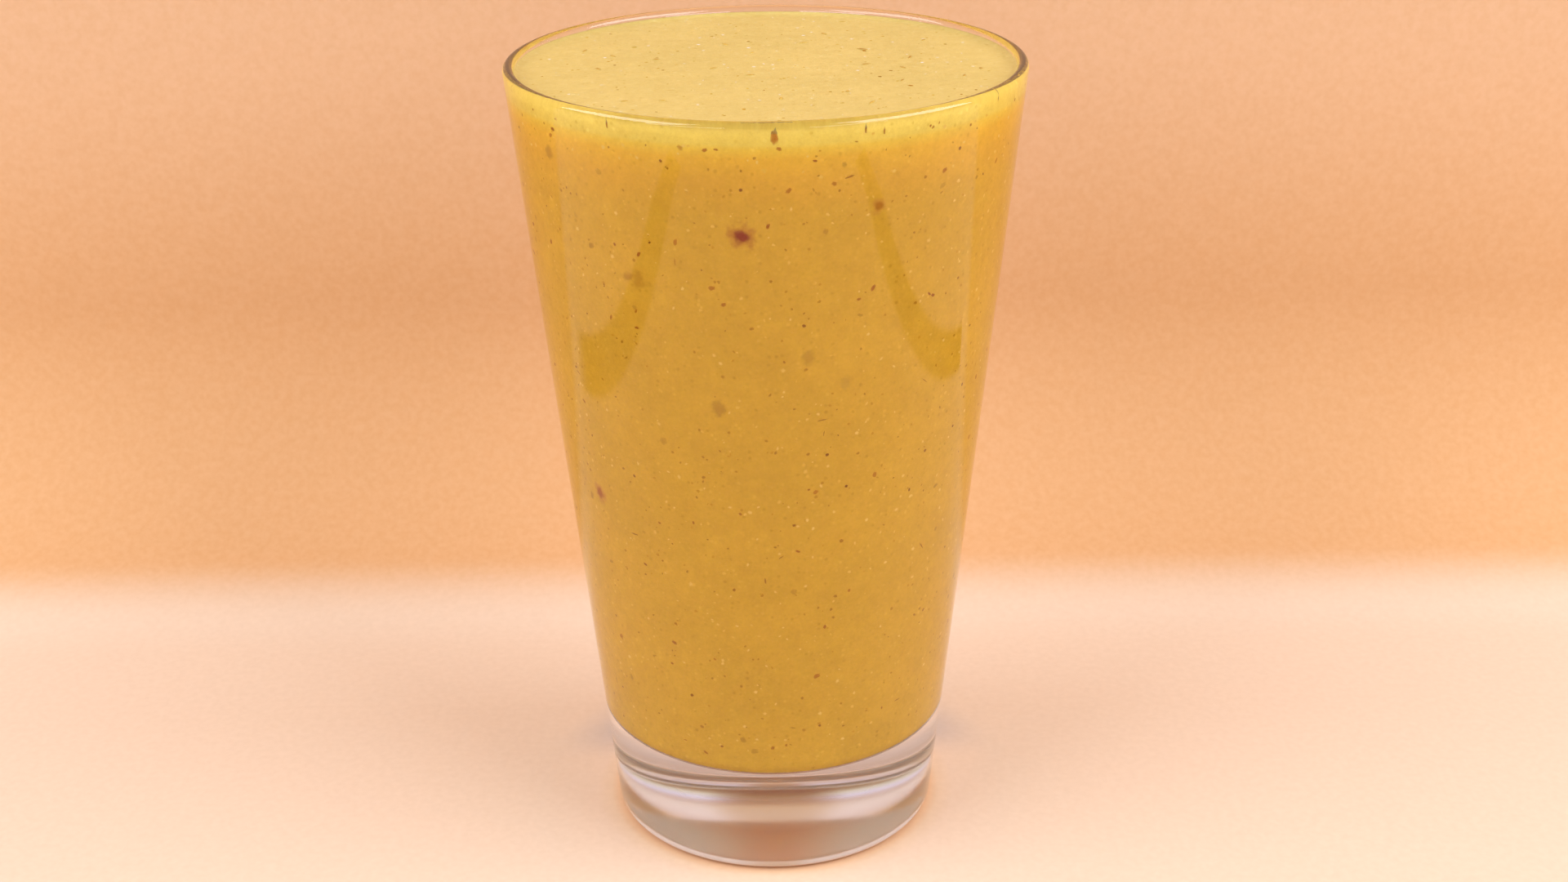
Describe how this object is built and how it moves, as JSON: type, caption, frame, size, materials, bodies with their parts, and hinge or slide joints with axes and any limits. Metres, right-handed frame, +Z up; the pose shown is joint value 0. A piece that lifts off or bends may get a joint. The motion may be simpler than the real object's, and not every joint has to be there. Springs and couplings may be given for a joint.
{
  "type": "banana coconut smoothie in a glass tumbler",
  "caption": "Thick yellow banana coconut smoothie filling a tall conical clear glass tumbler with a heavy base to just under the rim.",
  "frame": {"origin": "middle of the foot, on the surface the glass stands on", "axes": "+Z up along the glass's axis; the glass is round, so +X and +Y are free, and the view in the picture is from -Y"},
  "size_m": [0.088, 0.088, 0.142],
  "materials": {
    "clear_glass": "clear polished glass, faintly warm",
    "smoothie": "thick opaque blended fruit, warm banana yellow with fine dark and pale flecks, satin wet surface"
  },
  "bodies": {
    "root": {"glass_tumbler": "clear_glass", "smoothie": "smoothie"}
  },
  "joints": []
}
